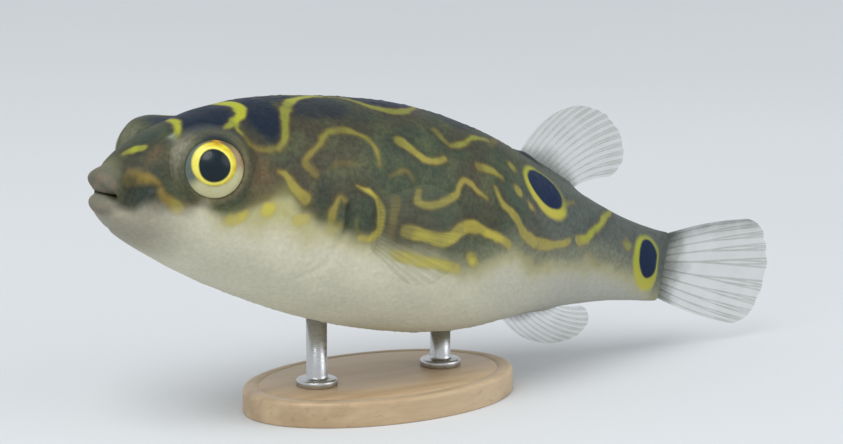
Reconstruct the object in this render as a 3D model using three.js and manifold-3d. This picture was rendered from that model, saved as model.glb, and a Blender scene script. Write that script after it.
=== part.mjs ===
// Figure-8 pufferfish, a freshwater pufferfish, as a still life-size model on a plain display stand.
// Millimetres, +Z up. The origin is the centre of the underside of the stand's base, and the fish
// faces -X. Its own frame has x from the mouth (0) to the root of the tail fin, y to the fish's right
// and z to its back, and a group tips that frame nose up over the stand.
import * as THREE from "three";
import { mergeVertices } from "three/addons/utils/BufferGeometryUtils.js";
import Module from "manifold-3d";

const wasm = await Module();
wasm.setup();

// ---- Driving dimensions -------------------------------------------------------------------------

const bodyLength = 61; // mouth to the root of the tail fin
const noseUp = THREE.MathUtils.degToRad(12.3);
const pivotX = 28.5; // the point of the fish's axis that stands over the origin
const axisHeight = 15.4; // height of that point above the ground
const gap = 0.3; // clear space between pieces that touch
const gillCutX = 20.4; // head ends, trunk starts, just behind the gill slit
const tailCutX = 49.2; // trunk ends, tail starts, behind the dorsal and anal fins

// Cross-sections of the body: where, height of the back, height of the belly, half width, and the
// height at which the section is widest.
const sections = [
  { x: 0.0, back: 1.4, belly: -1.3, halfWidth: 1.8, waist: 0.0 },
  { x: 2.0, back: 3.5, belly: -2.9, halfWidth: 3.4, waist: -0.1 },
  { x: 5.0, back: 5.8, belly: -4.4, halfWidth: 5.1, waist: -0.3 },
  { x: 10.0, back: 8.2, belly: -6.1, halfWidth: 6.6, waist: -0.6 },
  { x: 16.0, back: 9.7, belly: -7.6, halfWidth: 7.5, waist: -0.8 },
  { x: 24.0, back: 10.6, belly: -8.7, halfWidth: 8.2, waist: -0.9 },
  { x: 31.0, back: 10.5, belly: -8.9, halfWidth: 8.2, waist: -0.9 },
  { x: 38.0, back: 9.2, belly: -8.0, halfWidth: 7.1, waist: -0.8 },
  { x: 45.0, back: 6.8, belly: -6.0, halfWidth: 5.2, waist: -0.4 },
  { x: 52.0, back: 4.4, belly: -4.6, halfWidth: 3.2, waist: 0.0 },
  { x: 57.5, back: 3.1, belly: -3.9, halfWidth: 2.2, waist: -0.1 },
  { x: 61.0, back: 2.7, belly: -3.6, halfWidth: 0.9, waist: -0.2 },
];
const backRoundness = 2.15; // superellipse powers: 2 is an ellipse, more is squarer
const bellyRoundness = 2.3;
const ringSides = 40;
const ringStep = 1.6; // distance between rings along the body

const eye = {
  centre: [7.4, 4.9, 3.45], // of the right eye; the left one mirrors it in y
  radius: 2.75,
  forward: THREE.MathUtils.degToRad(22), // how far it looks ahead of straight out
  up: THREE.MathUtils.degToRad(5),
  // The swelling round the eye: radius and height along the line of sight, from inside the head to
  // the rim.
  orbit: [[2.8, -3.3], [3.5, -2.1], [3.7, -1.0], [3.55, 0.0], [3.2, 0.75], [2.85, 1.2], [2.55, 1.4]],
};

// The lips are rolls round the mouth, which is a level slit. The lower one is thinner and sits back.
const mouth = { x: 0.35, halfWidth: 1.75, headStart: 0.5 };
const lips = { upper: { radius: 0.85, back: 0 }, lower: { radius: 0.74, back: 0.36 } };

const finThickness = 0.6;
// Fins on the midline: where the root starts and ends, the longest ray, the angle of the middle ray
// from the body's axis, and the angle between the first ray and the last, in degrees.
const dorsalFin = { root: [42.0, 48.2], rays: 8.6, slope: 50, spread: 34 };
const analFin = { root: [42.8, 48.4], rays: 6.6, slope: 28, spread: 30 };
const caudalFin = { length: 12.2, rootTop: 2.35, rootBottom: -3.15, endTop: 5.0, endBottom: -5.0 };
const pectoralFin = { x: 21.9, top: 2.7, bottom: -0.9, rays: 8.4, outward: 32, spread: 62 };

const base = { halfLength: 13, halfWidth: 8.5, height: 2.2, bevel: 0.45 };
const rod = { radius: 0.9, frontX: -6.5, rearX: 6.5, collarRadius: 1.8, collarHeight: 0.7 };

// ---- Colours ------------------------------------------------------------------------------------

const finish = (color, roughness, metalness = 0) =>
  new THREE.MeshStandardMaterial({ color, roughness, metalness });
const skinFinish = finish(0x6b6a45, 0.45);
const lipFinish = finish(0x8c8474, 0.5);
const eyeFinish = finish(0xc9b13a, 0.12);
const finFinish = finish(0x9aa08c, 0.4);
const baseFinish = finish(0xc8b08a, 0.5);
const rodFinish = finish(0xb8babd, 0.3, 1.0);

// ---- Curves and closed meshes -------------------------------------------------------------------

// A natural cubic spline through (x, y) pairs, as a function of x.
function spline(points) {
  const n = points.length - 1;
  const h = Array.from({ length: n }, (_, i) => points[i + 1][0] - points[i][0]);
  const slope = h.map((step, i) => (points[i + 1][1] - points[i][1]) / step);
  const diagonal = [1];
  const right = [0];
  for (let i = 1; i < n; i++) {
    const carry = i > 1 ? h[i - 1] / diagonal[i - 1] : 0;
    diagonal[i] = 2 * (h[i - 1] + h[i]) - carry * (i > 1 ? h[i - 1] : 0);
    right[i] = 6 * (slope[i] - slope[i - 1]) - carry * (i > 1 ? right[i - 1] : 0);
  }
  const curve = new Array(n + 1).fill(0);
  for (let i = n - 1; i > 0; i--) {
    curve[i] = (right[i] - h[i] * curve[i + 1]) / diagonal[i];
  }
  return (x) => {
    let i = points.findIndex((p) => p[0] > x) - 1;
    if (i < 0) i = x < points[0][0] ? 0 : n - 1;
    const a = (points[i + 1][0] - x) / h[i];
    const b = (x - points[i][0]) / h[i];
    const bend = ((a ** 3 - a) * curve[i] + (b ** 3 - b) * curve[i + 1]) * h[i] ** 2 / 6;
    return a * points[i][1] + b * points[i + 1][1] + bend;
  };
}

const along = (key) => spline(sections.map((section) => [section.x, section[key]]));
const backAt = along("back");
const bellyAt = along("belly");
const halfWidthAt = along("halfWidth");
const waistAt = along("waist");

// One ring of the body at x, made larger all round by grow.
function bodyRing(x, grow = 0) {
  const waist = waistAt(x);
  const halfWidth = halfWidthAt(x) + grow;
  const up = backAt(x) - waist + grow;
  const down = waist - bellyAt(x) + grow;
  const ring = [];
  for (let i = 0; i < ringSides; i++) {
    const angle = (2 * Math.PI * i) / ringSides;
    const [c, s] = [Math.cos(angle), Math.sin(angle)];
    const power = 2 / (s > 0 ? backRoundness : bellyRoundness);
    const y = halfWidth * Math.sign(c) * Math.abs(c) ** power;
    const z = waist + (s > 0 ? up : down) * Math.sign(s) * Math.abs(s) ** power;
    ring.push([x, y, z]);
  }
  return ring;
}

// A closed mesh through rings of equally many points, with a flat fan over each end.
function loft(rings) {
  const sides = rings[0].length;
  const mean = (ring) => [0, 1, 2].map((k) => ring.reduce((sum, p) => sum + p[k], 0) / sides);
  const positions = [...rings.flat(), mean(rings[0]), mean(rings.at(-1))].flat();
  const [firstCentre, lastCentre] = [rings.length * sides, rings.length * sides + 1];
  const lastRing = (rings.length - 1) * sides;
  const index = [];
  for (let j = 0; j < sides; j++) {
    const k = (j + 1) % sides;
    for (let i = 0; i < rings.length - 1; i++) {
      const [a, b] = [i * sides, (i + 1) * sides];
      index.push(a + j, a + k, b + k, a + j, b + k, b + j);
    }
    index.push(firstCentre, k, j, lastCentre, lastRing + j, lastRing + k);
  }
  const geometry = new THREE.BufferGeometry();
  geometry.setAttribute("position", new THREE.Float32BufferAttribute(positions, 3));
  geometry.setIndex(index);
  return geometry;
}

// The body between two cuts square to its axis.
function bodyPiece(from, to, grow = 0) {
  const steps = Math.ceil((to - from) / ringStep);
  const places = Array.from({ length: steps + 1 }, (_, i) => from + ((to - from) * i) / steps);
  return loft(places.map((x) => bodyRing(x, grow)));
}

// ---- Joining and cutting ------------------------------------------------------------------------

function solid(geometry) {
  const bare = geometry.clone();
  bare.deleteAttribute("normal");
  bare.deleteAttribute("uv");
  const merged = mergeVertices(bare, 1e-4);
  return new wasm.Manifold(new wasm.Mesh({
    numProp: 3,
    vertProperties: new Float32Array(merged.attributes.position.array),
    triVerts: new Uint32Array(merged.index.array),
  }));
}

function geometryOf(manifold) {
  const mesh = manifold.getMesh();
  const geometry = new THREE.BufferGeometry();
  geometry.setAttribute("position", new THREE.Float32BufferAttribute(mesh.vertProperties, 3));
  geometry.setIndex(Array.from(mesh.triVerts));
  return geometry;
}

// ---- Eyes and head ------------------------------------------------------------------------------

// side is 1 for the fish's right and -1 for its left.
function eyeCentre(side) {
  const [x, y, z] = eye.centre;
  return new THREE.Vector3(x, side * y, z);
}

function lineOfSight(side) {
  const level = Math.cos(eye.up);
  return new THREE.Vector3(
    -Math.sin(eye.forward) * level, side * Math.cos(eye.forward) * level, Math.sin(eye.up));
}

// Turns a geometry built around +Y so that +Y looks along the line of sight, at the eye's centre.
function aimed(geometry, side) {
  const turn = new THREE.Quaternion()
    .setFromUnitVectors(new THREE.Vector3(0, 1, 0), lineOfSight(side));
  return geometry.applyQuaternion(turn).translate(...eyeCentre(side).toArray());
}

const ball = (radius) => new THREE.SphereGeometry(radius, 24, 14);

function orbit(side) {
  const [deepest, rim] = [eye.orbit[0][1], eye.orbit.at(-1)[1]];
  const profile = [[0, deepest], ...eye.orbit, [0, rim]];
  const swelling = new THREE.LatheGeometry(profile.map(([r, h]) => new THREE.Vector2(r, h)), 28);
  return aimed(swelling, side);
}

// The head has a socket for each eye and is hollowed for the lips.
function headGeometry() {
  let head = solid(bodyPiece(mouth.headStart, gillCutX - gap / 2));
  for (const side of [1, -1]) {
    head = head.add(solid(orbit(side)));
    head = head.subtract(solid(aimed(ball(eye.radius + gap), side)));
    head = head.subtract(solid(lipGeometry(side, gap)));
  }
  return geometryOf(head);
}

// A rounded lip from one corner of the mouth to the other, thickest in the middle; up is 1 for the
// upper lip and -1 for the lower one.
function lipGeometry(up, grow = 0) {
  const steps = 14;
  const sides = 12;
  const lip = up > 0 ? lips.upper : lips.lower;
  const rings = [];
  for (let i = 0; i <= steps; i++) {
    const angle = (Math.PI * i) / steps;
    const thick = lip.radius * (0.4 + 0.6 * Math.sin(angle));
    const radius = thick + grow;
    const x = mouth.x + lip.back + 0.9 * (1 - Math.sin(angle));
    const y = (mouth.halfWidth + grow) * Math.cos(angle);
    const z = up * (gap / 2 + thick);
    const ring = [];
    for (let j = 0; j < sides; j++) {
      const turn = (up * 2 * Math.PI * j) / sides;
      const outward = radius * Math.cos(turn);
      ring.push([x - radius * Math.sin(turn), y + 0.4 * outward * Math.cos(angle), z + up * outward]);
    }
    rings.push(ring);
  }
  return loft(rings);
}

// ---- Fins ---------------------------------------------------------------------------------------

// A flat plate of the fins' thickness, from an outline in x and z.
function finPlate(outline) {
  const shape = new THREE.Shape(outline.map(([x, z]) => new THREE.Vector2(x, z)));
  const plate = new THREE.ExtrudeGeometry(shape, { depth: finThickness, bevelEnabled: false });
  return plate.rotateX(Math.PI / 2).translate(0, finThickness / 2, 0);
}

// The outline of a fan of rays that grow from a straight root: each ray starts along the root and
// they spread evenly about the middle ray's direction. The outer rays are shorter, which rounds the
// fin's corners.
function fanOutline(rootStart, rootEnd, middle, spread, rays, steps = 18) {
  const tips = [];
  for (let i = 0; i <= steps; i++) {
    const t = i / steps;
    const angle = middle + spread * (t - 0.5);
    const length = rays * Math.sin(Math.PI * (0.05 + 0.9 * t)) ** 0.32;
    tips.push([
      rootStart[0] + (rootEnd[0] - rootStart[0]) * t + length * Math.cos(angle),
      rootStart[1] + (rootEnd[1] - rootStart[1]) * t + length * Math.sin(angle),
    ]);
  }
  return [rootStart, ...tips, rootEnd];
}

const radians = THREE.MathUtils.degToRad;
const bodyWithGap = solid(bodyPiece(0, bodyLength, gap));

// A fin on the fish's midline; up is 1 on the back and -1 under the tail. Its root starts inside the
// body, which then cuts it off at a clear gap.
function midlineFin(fin, up) {
  const sink = 1.2;
  const edge = up > 0 ? backAt : bellyAt;
  const root = fin.root.map((x) => [x, edge(x) - up * sink]);
  const outline = fanOutline(root[0], root[1], up * radians(fin.slope), -up * radians(fin.spread),
    fin.rays + sink);
  const plate = solid(finPlate(up > 0 ? outline.reverse() : outline));
  return geometryOf(plate.subtract(bodyWithGap));
}

function caudalGeometry() {
  const { length, rootTop, rootBottom, endTop, endBottom } = caudalFin;
  const start = bodyLength + gap;
  const middle = (endTop + endBottom) / 2;
  const half = (endTop - endBottom) / 2;
  const outline = [[start, rootBottom], [start + length * 0.35, rootBottom - 0.9]];
  for (let i = 0; i <= 16; i++) {
    const angle = -Math.PI / 2 + (Math.PI * i) / 16;
    const flat = Math.sign(Math.sin(angle)) * Math.abs(Math.sin(angle)) ** 0.8;
    outline.push([start + length * (0.76 + 0.24 * Math.cos(angle)), middle + half * flat]);
  }
  outline.push([start + length * 0.35, rootTop + 0.9], [start, rootTop]);
  return finPlate(outline);
}

// A fan on the flank that trails back and stands out from it.
function pectoralGeometry(side) {
  const { x, top, bottom, rays, outward, spread } = pectoralFin;
  const outline = fanOutline([0, bottom], [0, top], radians(-4), radians(spread), rays);
  const plate = finPlate(outline);
  plate.rotateZ(side * radians(outward));
  plate.translate(x, side * (halfWidthAt(x) - 0.5), 0);
  return geometryOf(solid(plate).subtract(bodyWithGap));
}

// ---- Stand --------------------------------------------------------------------------------------

function standBaseGeometry() {
  const { halfLength, halfWidth, height, bevel } = base;
  const profile = [
    new THREE.Vector2(0, 0),
    new THREE.Vector2(halfLength, 0),
    new THREE.Vector2(halfLength, height - bevel),
    new THREE.Vector2(halfLength - bevel * 0.3, height - bevel * 0.3),
    new THREE.Vector2(halfLength - bevel, height),
    new THREE.Vector2(0, height),
  ];
  const oval = new THREE.LatheGeometry(profile, 56);
  return oval.rotateX(Math.PI / 2).scale(1, halfWidth / halfLength, 1);
}

// A rod with a collar at its foot, cut off just under the belly.
function standRodGeometry(x) {
  const { radius, collarRadius, collarHeight } = rod;
  const top = axisHeight;
  const profile = [
    new THREE.Vector2(0, base.height),
    new THREE.Vector2(collarRadius, base.height),
    new THREE.Vector2(collarRadius, base.height + collarHeight * 0.7),
    new THREE.Vector2(collarRadius - collarHeight * 0.3, base.height + collarHeight),
    new THREE.Vector2(radius, base.height + collarHeight),
    new THREE.Vector2(radius, top),
    new THREE.Vector2(0, top),
  ];
  const upright = new THREE.LatheGeometry(profile, 24).rotateX(Math.PI / 2).translate(x, 0, 0);
  const body = bodyPiece(0, bodyLength, gap).translate(-pivotX, 0, 0);
  body.rotateY(noseUp).translate(0, 0, axisHeight);
  return geometryOf(solid(upright).subtract(solid(body)));
}

// ---- The model ----------------------------------------------------------------------------------

const fish = new THREE.Group();
fish.rotation.y = noseUp;
fish.position.z = axisHeight;
const fishFrame = new THREE.Group();
fishFrame.position.x = -pivotX;
fish.add(fishFrame);
const model = new THREE.Group();
model.add(fish);

function piece(group, name, geometry, material) {
  const mesh = new THREE.Mesh(geometry, material);
  mesh.name = name;
  group.add(mesh);
}

piece(fishFrame, "head", headGeometry(), skinFinish);
piece(fishFrame, "trunk", bodyPiece(gillCutX + gap / 2, tailCutX - gap / 2), skinFinish);
piece(fishFrame, "tail", bodyPiece(tailCutX + gap / 2, bodyLength), skinFinish);
piece(fishFrame, "upper_lip", lipGeometry(1), lipFinish);
piece(fishFrame, "lower_lip", lipGeometry(-1), lipFinish);
for (const [name, side] of [["right", 1], ["left", -1]]) {
  piece(fishFrame, `eye_${name}`, aimed(ball(eye.radius), side), eyeFinish);
  piece(fishFrame, `pectoral_fin_${name}`, pectoralGeometry(side), finFinish);
}
piece(fishFrame, "dorsal_fin", midlineFin(dorsalFin, 1), finFinish);
piece(fishFrame, "anal_fin", midlineFin(analFin, -1), finFinish);
piece(fishFrame, "caudal_fin", caudalGeometry(), finFinish);
piece(model, "stand_base", standBaseGeometry(), baseFinish);
piece(model, "stand_rod_front", standRodGeometry(rod.frontX), rodFinish);
piece(model, "stand_rod_rear", standRodGeometry(rod.rearX), rodFinish);

export default model;
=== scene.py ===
"""A figure-8 pufferfish on a plain display stand, dressed over its CAD frame.

Lengths are millimetres in the fish's own frame until a piece is built: x runs from the mouth (0) to
the root of the tail fin, y to the fish's right and z to its back. to_world() tips that frame nose up
over the stand and turns it into metres. Places on the skin are given as x and girth, the distance
round the body from the middle of the back: positive down the left flank, negative down the right.
"""
import math
import bpy
import numpy as np
from mathutils import Matrix, Vector


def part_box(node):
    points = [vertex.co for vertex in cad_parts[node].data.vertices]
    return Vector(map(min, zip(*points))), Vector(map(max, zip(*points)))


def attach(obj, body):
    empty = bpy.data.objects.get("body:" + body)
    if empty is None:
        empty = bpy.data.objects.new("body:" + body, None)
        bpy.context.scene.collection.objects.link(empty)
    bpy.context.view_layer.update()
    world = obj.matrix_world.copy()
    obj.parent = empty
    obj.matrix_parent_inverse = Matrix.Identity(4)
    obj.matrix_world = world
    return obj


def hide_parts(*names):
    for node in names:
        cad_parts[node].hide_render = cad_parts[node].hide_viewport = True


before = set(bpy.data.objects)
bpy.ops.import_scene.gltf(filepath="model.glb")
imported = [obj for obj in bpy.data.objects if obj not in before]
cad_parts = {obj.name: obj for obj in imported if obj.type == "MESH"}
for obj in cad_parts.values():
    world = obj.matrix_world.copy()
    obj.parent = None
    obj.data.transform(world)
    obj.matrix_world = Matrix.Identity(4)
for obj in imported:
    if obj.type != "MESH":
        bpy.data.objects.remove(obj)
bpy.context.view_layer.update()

MM = 0.001
STILL_BODY = "root"

# ---- Driving dimensions, as in the CAD source ----

BODY_LENGTH = 61.0
NOSE_UP = math.radians(12.3)
PIVOT_X = 28.5
AXIS_HEIGHT = 15.4
BACK_POWER, BELLY_POWER = 2.15, 2.3
# x, height of the back, height of the belly, half width, height of the widest level
SECTIONS = (
    (0.0, 1.4, -1.3, 1.8, 0.0),
    (2.0, 3.5, -2.9, 3.4, -0.1),
    (5.0, 5.8, -4.4, 5.1, -0.3),
    (10.0, 8.2, -6.1, 6.6, -0.6),
    (16.0, 9.7, -7.6, 7.5, -0.8),
    (24.0, 10.6, -8.7, 8.2, -0.9),
    (31.0, 10.5, -8.9, 8.2, -0.9),
    (38.0, 9.2, -8.0, 7.1, -0.8),
    (45.0, 6.8, -6.0, 5.2, -0.4),
    (52.0, 4.4, -4.6, 3.2, 0.0),
    (57.5, 3.1, -3.9, 2.2, -0.1),
    (61.0, 2.7, -3.6, 0.9, -0.2),
)
EYE_CENTRE = (7.4, 4.9, 3.45)
EYE_RADIUS = 2.75
EYE_FORWARD, EYE_UP = math.radians(22), math.radians(5)  # how far the eyes look forward and up
# Fins: where the root lies, the length of the rays, and angles in degrees.
DORSAL_FIN = dict(root=(42.0, 48.2), rays=8.6, slope=50, spread=34)
ANAL_FIN = dict(root=(42.8, 48.4), rays=6.6, slope=28, spread=30)
CAUDAL_FIN = dict(length=12.2, root=(-3.15, 2.35), end=(-5.0, 5.0))
PECTORAL_FIN = dict(x=21.9, root=(-0.9, 2.7), rays=8.4, outward=32, spread=62)
BASE = dict(half_length=13.0, half_width=8.5, height=2.2, bevel=0.45)
ROD = dict(radius=0.9, places=(-6.5, 6.5), collar_radius=1.8, collar_height=0.7)

# ---- Curves, noise and masks ----


def spline(xs, ys):
    """A natural cubic spline through (xs, ys), as a function of an array."""
    xs, ys = np.asarray(xs, float), np.asarray(ys, float)
    step = np.diff(xs)
    system = np.eye(len(xs))
    slopes = np.zeros(len(xs))
    for i in range(1, len(xs) - 1):
        system[i, i - 1:i + 2] = step[i - 1], 2 * (step[i - 1] + step[i]), step[i]
        slopes[i] = 6 * ((ys[i + 1] - ys[i]) / step[i] - (ys[i] - ys[i - 1]) / step[i - 1])
    curve = np.linalg.solve(system, slopes)

    def at(x):
        i = np.clip(np.searchsorted(xs, x, side="right") - 1, 0, len(step) - 1)
        a, b = (xs[i + 1] - x) / step[i], (x - xs[i]) / step[i]
        bend = ((a ** 3 - a) * curve[i] + (b ** 3 - b) * curve[i + 1]) * step[i] ** 2 / 6
        return a * ys[i] + b * ys[i + 1] + bend

    return at


BACK, BELLY, HALF_WIDTH, WAIST = (
    spline([s[0] for s in SECTIONS], [s[k] for s in SECTIONS]) for k in (1, 2, 3, 4)
)


def smooth_step(low, high, value):
    """0 at low and before it, 1 at high and past it, easing in and out between them."""
    t = np.clip((value - low) / (high - low), 0, 1)
    return t * t * (3 - 2 * t)


def bump(distance, radius):
    """1 at no distance, falling smoothly to 0 at about twice the radius."""
    return np.exp(-(distance / radius) ** 2)


def smooth_max(a, b, softness):
    """The larger of two fields, blended where they are near each other."""
    share = np.clip(0.5 + 0.5 * (b - a) / softness, 0, 1)
    return a + (b - a) * share + softness * share * (1 - share) / 2


FAR = 99.0  # stands for any distance too large to matter
PATH_REACH = 3.0
LATTICE = 32  # cells of noise along each axis before it repeats
SCATTER = 0.3  # how far scattered points lie off the corners of their cells, in spacings


def corners_of_cells(points, size):
    """The eight lattice corners round every point: each one's place in cells, its index in the
    repeating lattice, and the point's own place."""
    place = points / size
    cell = np.floor(place).astype(int)
    for step in np.ndindex(2, 2, 2):
        corner = cell + step
        yield corner, tuple(np.moveaxis(corner % LATTICE, -1, 0)), place


def soft_noise(points, size, seed):
    """Smooth noise from -1 to 1 over an (..., 3) array, with lumps about size across."""
    lattice = np.random.default_rng(seed).uniform(-1, 1, [LATTICE] * 3)
    total = np.zeros(points.shape[:-1])
    for corner, index, place in corners_of_cells(points, size):
        away = np.abs(place - corner)
        weight = 1 - away * away * (3 - 2 * away)
        total += lattice[index] * weight.prod(-1)
    return total


def noises(points, *layers):
    """The sum of layers of smooth noise, each given as an amount, a size and a seed."""
    return sum(amount * soft_noise(points, size, seed) for amount, size, seed in layers)


def scattered(points, spacing, seed):
    """Distance, in spacings, from every point to the nearest of many scattered ones."""
    shift = np.random.default_rng(seed).uniform(-SCATTER, SCATTER, [LATTICE] * 3 + [3])
    nearest = np.full(points.shape[:-1], FAR)
    for corner, index, place in corners_of_cells(points, spacing):
        nearest = np.minimum(nearest, np.linalg.norm(place - corner - shift[index], axis=-1))
    return nearest


def rounded(points, steps=6):
    """The points of a smooth curve through the given ones (Catmull-Rom)."""
    p = np.asarray(points, float)
    if len(p) < 3:
        return p
    ends = np.vstack([2 * p[0] - p[1], p, 2 * p[-1] - p[-2]])
    made = []
    for a, b, c, d in zip(ends, ends[1:], ends[2:], ends[3:]):
        for t in np.arange(steps) / steps:
            made.append(0.5 * (2 * b + (c - a) * t + (2 * a - 5 * b + 4 * c - d) * t ** 2
                               + (3 * b - a - 3 * c + d) * t ** 3))
    return np.array(made + [p[-1]])


def travelled(points):
    """How far along a chain of points each of them lies."""
    return np.concatenate([[0], np.cumsum(np.linalg.norm(np.diff(points, axis=0), axis=1))])


def path_distance(x, girth, path):
    """Distance on the flattened skin from every point to a smooth curve through path, how far along
    the curve its nearest place is, from 0 to 1, and the curve's length. Points that lie more than
    PATH_REACH outside the curve's own box are only given a large distance."""
    curve = rounded(path)
    travel = travelled(curve)
    away, share = np.full(x.shape, FAR), np.zeros(x.shape)
    (low_x, low_g), (high_x, high_g) = curve.min(0) - PATH_REACH, curve.max(0) + PATH_REACH
    near = (x > low_x) & (x < high_x) & (girth > low_g) & (girth < high_g)
    px, pg = x[near], girth[near]
    best, best_share = np.full(px.shape, FAR), np.zeros(px.shape)
    for i, ((ax, ag), (bx, bg)) in enumerate(zip(curve[:-1], curve[1:])):
        dx, dg = bx - ax, bg - ag
        t = np.clip(((px - ax) * dx + (pg - ag) * dg) / (dx * dx + dg * dg), 0, 1)
        distance = np.hypot(px - ax - t * dx, pg - ag - t * dg)
        closer = distance < best
        best = np.where(closer, distance, best)
        place = (travel[i] + t * (travel[i + 1] - travel[i])) / travel[-1]
        best_share = np.where(closer, place, best_share)
    away[near], share[near] = best, best_share
    return away, share, travel[-1]


def spot_distance(x, girth, centre, size, tilt=0.0):
    """Distance from an oval spot's centre, where 1 is its edge. A tilt lifts its tail end."""
    c, s = math.cos(math.radians(tilt)), math.sin(math.radians(tilt))
    dx, dg = x - centre[0], girth - centre[1]
    return np.hypot((c * dx - s * dg) / size[0], (s * dx + c * dg) / size[1])


# ---- Frames ----


def to_world(points):
    """Points of the fish's frame, in mm, to metres in the part's frame."""
    x, y, z = (np.asarray(points, float) - (PIVOT_X, 0, 0)).T
    c, s = math.cos(NOSE_UP), math.sin(NOSE_UP)
    return np.stack([c * x + s * z, y, c * z - s * x + AXIS_HEIGHT], -1) * MM


def eye_axes(side):
    """Unit vectors of an eye: its line of sight, towards the tail across it, and up across it.
    side is 1 for the fish's right eye and -1 for its left."""
    level = math.cos(EYE_UP)
    sight = np.array([-math.sin(EYE_FORWARD) * level, side * math.cos(EYE_FORWARD) * level,
                      math.sin(EYE_UP)])
    tailward = np.cross(sight, (0, 0, side))
    tailward /= np.linalg.norm(tailward)
    return sight, tailward, np.cross(tailward, sight) * side


def eye_place(side):
    """The middle of an eyeball in the fish's frame."""
    return np.array(EYE_CENTRE) * (1, side, 1)


def seen_by_eye(points, side):
    """Points as heights along an eye's line of sight, and distances tailward and up from it."""
    sight, tailward, up = eye_axes(side)
    offset = points - eye_place(side)
    return offset @ sight, offset @ tailward, offset @ up


# ---- Mesh pieces ----


def in_scene(name, data):
    """A new object of the scene that holds data."""
    made = bpy.data.objects.new(name, data)
    bpy.context.scene.collection.objects.link(made)
    return made


def mesh_piece(name, points, faces, material, attributes=None, uv=None):
    """An object from an (n, 3) array in metres and an array of faces, all with as many corners."""
    faces = np.asarray(faces)
    sides = faces.shape[1]
    mesh = bpy.data.meshes.new(name)
    mesh.vertices.add(len(points))
    mesh.vertices.foreach_set("co", np.asarray(points, np.float32).ravel())
    mesh.loops.add(faces.size)
    mesh.loops.foreach_set("vertex_index", faces.ravel().astype(np.int32))
    mesh.polygons.add(len(faces))
    mesh.polygons.foreach_set("loop_start", np.arange(0, faces.size, sides, dtype=np.int32))
    mesh.polygons.foreach_set("loop_total", np.full(len(faces), sides, np.int32))
    mesh.polygons.foreach_set("use_smooth", np.ones(len(faces), bool))
    for key, values in (attributes or {}).items():
        layer = mesh.attributes.new(key, "FLOAT", "POINT")
        layer.data.foreach_set("value", np.asarray(values, np.float32))
    if uv is not None:
        layer = mesh.uv_layers.new(name="OFBake")
        layer.uv.foreach_set("vector", np.asarray(uv, np.float32).ravel())
    mesh.materials.append(material)
    mesh.update()
    mesh.validate()
    piece = in_scene(name, mesh)
    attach(piece, STILL_BODY)
    return piece


def grid_faces(rows, columns, closed=True):
    """Quads between neighbouring rows of points; closed joins each row's last point to its first."""
    across = columns if closed else columns - 1
    i, j = np.meshgrid(np.arange(rows - 1), np.arange(across), indexing="ij")
    k = (j + 1) % columns
    quads = [i * columns + j, i * columns + k, (i + 1) * columns + k, (i + 1) * columns + j]
    return np.stack(quads, -1).reshape(-1, 4)


def closed_by_tips(rows, columns):
    """Triangles of a closed grid of rows whose ends are closed by two tip points that follow it."""
    quads = grid_faces(rows, columns)
    j = np.arange(columns)
    k = (j + 1) % columns
    first, last = np.full(columns, rows * columns), np.full(columns, rows * columns + 1)
    end = (rows - 1) * columns
    return np.vstack([quads[:, [0, 2, 1]], quads[:, [0, 3, 2]], np.stack([first, j, k], -1),
                      np.stack([last, end + k, end + j], -1)])


# ---- The skin's shape ----

AROUND = 400
# The front of the snout as closed loops from the throat, out over the lips and back to the snout:
# x of the upper half, x of the lower half, half width, height above the slit, height below it.
LIP_LOOPS = (
    (1.50, 1.60, 0.40, 0.02, 0.02),
    (1.05, 1.20, 0.62, 0.02, 0.02),
    (0.66, 0.84, 0.82, 0.02, 0.02),
    (0.26, 0.54, 1.02, 0.06, 0.06),
    (-0.13, 0.28, 1.60, 0.62, 0.52),
    (-0.30, 0.17, 1.92, 1.24, 1.04),
    (-0.03, 0.34, 2.10, 1.77, 1.46),
    (0.44, 0.64, 2.24, 2.08, 1.73),
    (0.86, 0.96, 2.46, 2.35, 1.98),
)
LIP_ROWS = 60
THROAT_ROW = 20  # the loops before this one line the throat
SLIT_LEVEL = -0.12
SNOUT_START = 1.25
CORNER_BACK = 1.1  # how far the corners of the mouth lie behind its middle
LEAST_OPEN = 0.015  # the lips never come closer to the slit than this
FINE_UNTIL = 13.0  # loops lie closer over the head
FINE_STEP, COARSE_STEP = 0.088, 0.14
TAIL_NARROWS, SKIN_END = 58.6, 60.5  # over these the tail thins to half its width
TAIL_CLOSES = 0.45  # how far past its end the skin runs, closing over the tail fin's root
END_ROWS = 8


def body_rows():
    """Every loop of the skin from the throat to the tail: the x of its upper and lower half, its
    half width, its heights above and below the widest level, and that level."""
    fine = np.arange(SNOUT_START, FINE_UNTIL, FINE_STEP)
    xs = np.concatenate([fine, np.arange(FINE_UNTIL, SKIN_END, COARSE_STEP), [SKIN_END]])
    waist = WAIST(xs) + SLIT_LEVEL * (1 - smooth_step(1.0, 4.0, xs))
    width = HALF_WIDTH(xs) * (1 - 0.5 * smooth_step(TAIL_NARROWS, SKIN_END, xs))
    sizes = np.stack([xs, xs, width, BACK(xs) - waist, waist - BELLY(xs), waist], -1)
    loops = np.array([loop + (SLIT_LEVEL,) for loop in LIP_LOOPS])
    joined = np.vstack([loops, sizes[[0, 4, 8]]])  # the lips run smoothly on into the body's loops
    travel = travelled(joined[:, :5])
    places = np.linspace(0, travel[len(loops)], LIP_ROWS, endpoint=False)
    lips = np.stack([spline(travel, joined[:, k])(places) for k in range(6)], -1)
    lips[:, 3:5] = np.maximum(lips[:, 3:5], LEAST_OPEN)
    t = np.linspace(0, 1, END_ROWS + 1)[1:, None]
    thin = np.sqrt(1 - t ** 2)
    end = sizes[-1]
    x = SKIN_END + TAIL_CLOSES * t
    tail = np.hstack([x, x, 0.1 + (end[2] - 0.1) * thin, end[3] * (0.9 + 0.1 * thin),
                      end[4] * (0.9 + 0.1 * thin), np.full_like(t, end[5])])
    return np.vstack([lips, sizes, tail])


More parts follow.
